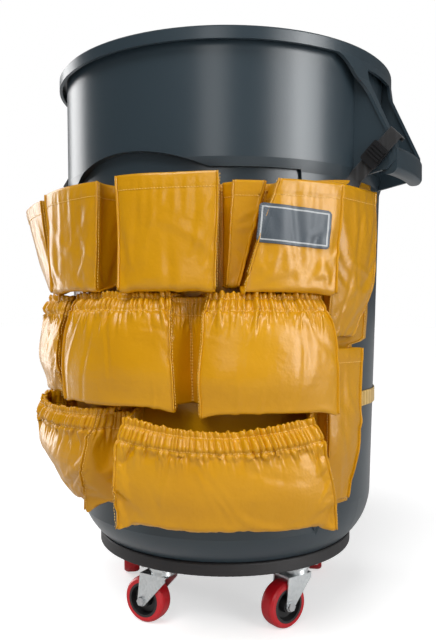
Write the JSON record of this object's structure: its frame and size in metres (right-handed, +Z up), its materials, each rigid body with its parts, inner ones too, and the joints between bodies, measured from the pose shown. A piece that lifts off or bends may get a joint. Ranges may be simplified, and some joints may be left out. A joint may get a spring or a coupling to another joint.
{
  "type": "cleaning caddy",
  "caption": "Round waste container on a swivel-caster dolly, with a strapped-on vinyl apron of tool pockets for cleaning rounds.",
  "frame": {"origin": "on the floor, under the container's axis", "axes": "+Z up, -Y towards the front that the pockets face, +X towards the right-hand handle seen from the front"},
  "size_m": [0.7222, 0.65, 0.935],
  "materials": {
    "container": "satin moulded polyethylene, blue grey",
    "dolly": "matt moulded plastic, charcoal",
    "zinc": "bright zinc-plated pressed steel",
    "bolt": "zinc-plated steel",
    "bush": "sintered steel, oiled",
    "hub": "black moulded plastic",
    "tread": "red polyurethane",
    "vinyl": "glossy yellow vinyl-coated fabric",
    "elastic": "woven elastic",
    "webbing_black": "black woven webbing",
    "webbing_yellow": "pale yellow woven webbing",
    "buckle": "black acetal, slight gloss",
    "label": "printed vinyl label, plain stripes, no lettering"
  },
  "bodies": {
    "dolly": {"caster_kingpins": "bolt", "caster_screws": "bolt", "caster_top_plates": "zinc", "dolly_deck": "dolly"},
    "container": {"apron_panel": "vinyl", "buckle_left": "buckle", "buckle_right": "buckle", "buckle_waist": "buckle", "container_shell": "container", "elastic_bottom_left": "elastic", "elastic_bottom_right": "elastic", "elastic_middle_centre": "elastic", "elastic_middle_left": "elastic", "elastic_middle_right": "elastic", "handle_left": "container", "handle_right": "container", "label_patch": "label", "pocket_bottom_left": "vinyl", "pocket_bottom_right": "vinyl", "pocket_middle_centre": "vinyl", "pocket_middle_left": "vinyl", "pocket_middle_right": "vinyl", "pocket_side_lower": "vinyl", "pocket_side_upper": "vinyl", "pocket_top_centre": "vinyl", "pocket_top_far_left": "vinyl", "pocket_top_left": "vinyl", "pocket_top_narrow": "vinyl", "pocket_top_right": "vinyl", "strap_left": "webbing_black", "strap_right": "webbing_black", "strap_waist": "webbing_yellow"},
    "caster_1": {"caster_1_fork": "zinc", "caster_1_axle": "bolt", "caster_1_bush": "bush"},
    "wheel_1": {"caster_1_hub": "hub", "caster_1_tread": "tread"},
    "caster_2": {"caster_2_fork": "zinc", "caster_2_axle": "bolt", "caster_2_bush": "bush"},
    "wheel_2": {"caster_2_hub": "hub", "caster_2_tread": "tread"},
    "caster_3": {"caster_3_fork": "zinc", "caster_3_axle": "bolt", "caster_3_bush": "bush"},
    "wheel_3": {"caster_3_hub": "hub", "caster_3_tread": "tread"},
    "caster_4": {"caster_4_fork": "zinc", "caster_4_axle": "bolt", "caster_4_bush": "bush"},
    "wheel_4": {"caster_4_hub": "hub", "caster_4_tread": "tread"},
    "caster_5": {"caster_5_fork": "zinc", "caster_5_axle": "bolt", "caster_5_bush": "bush"},
    "wheel_5": {"caster_5_hub": "hub", "caster_5_tread": "tread"}
  },
  "joints": [
    {"name": "container_lift", "type": "slide", "parent": "dolly", "child": "container", "axis": [0, 0, 1], "range_m": [0, 0.3]},
    {"name": "caster_1_swivel", "type": "hinge", "parent": "dolly", "child": "caster_1", "pos_m": [0, -0.19, 0.09], "axis": [0, 0, 1], "continuous": true},
    {"name": "wheel_1_spin", "type": "hinge", "parent": "caster_1", "child": "wheel_1", "pos_m": [-0.02994, -0.19183, 0.0381], "axis": [0.061, -0.9981, 0], "continuous": true},
    {"name": "caster_2_swivel", "type": "hinge", "parent": "dolly", "child": "caster_2", "pos_m": [0.1807, -0.05871, 0.09], "axis": [0, 0, 1], "continuous": true},
    {"name": "wheel_2_spin", "type": "hinge", "parent": "caster_2", "child": "wheel_2", "pos_m": [0.17044, -0.0869, 0.0381], "axis": [0.9397, -0.342, 0], "continuous": true},
    {"name": "caster_3_swivel", "type": "hinge", "parent": "dolly", "child": "caster_3", "pos_m": [0.11168, 0.15371, 0.09], "axis": [0, 0, 1], "continuous": true},
    {"name": "wheel_3_spin", "type": "hinge", "parent": "caster_3", "child": "wheel_3", "pos_m": [0.099, 0.1809, 0.0381], "axis": [-0.9063, -0.4226, 0], "continuous": true},
    {"name": "caster_4_swivel", "type": "hinge", "parent": "dolly", "child": "caster_4", "pos_m": [-0.11168, 0.15371, 0.09], "axis": [0, 0, 1], "continuous": true},
    {"name": "wheel_4_spin", "type": "hinge", "parent": "caster_4", "child": "wheel_4", "pos_m": [-0.13766, 0.16871, 0.0381], "axis": [-0.5, -0.866, 0], "continuous": true},
    {"name": "caster_5_swivel", "type": "hinge", "parent": "dolly", "child": "caster_5", "pos_m": [-0.1807, -0.05871, 0.09], "axis": [0, 0, 1], "continuous": true},
    {"name": "wheel_5_spin", "type": "hinge", "parent": "caster_5", "child": "wheel_5", "pos_m": [-0.19998, -0.03573, 0.0381], "axis": [-0.766, -0.6428, 0], "continuous": true}
  ]
}
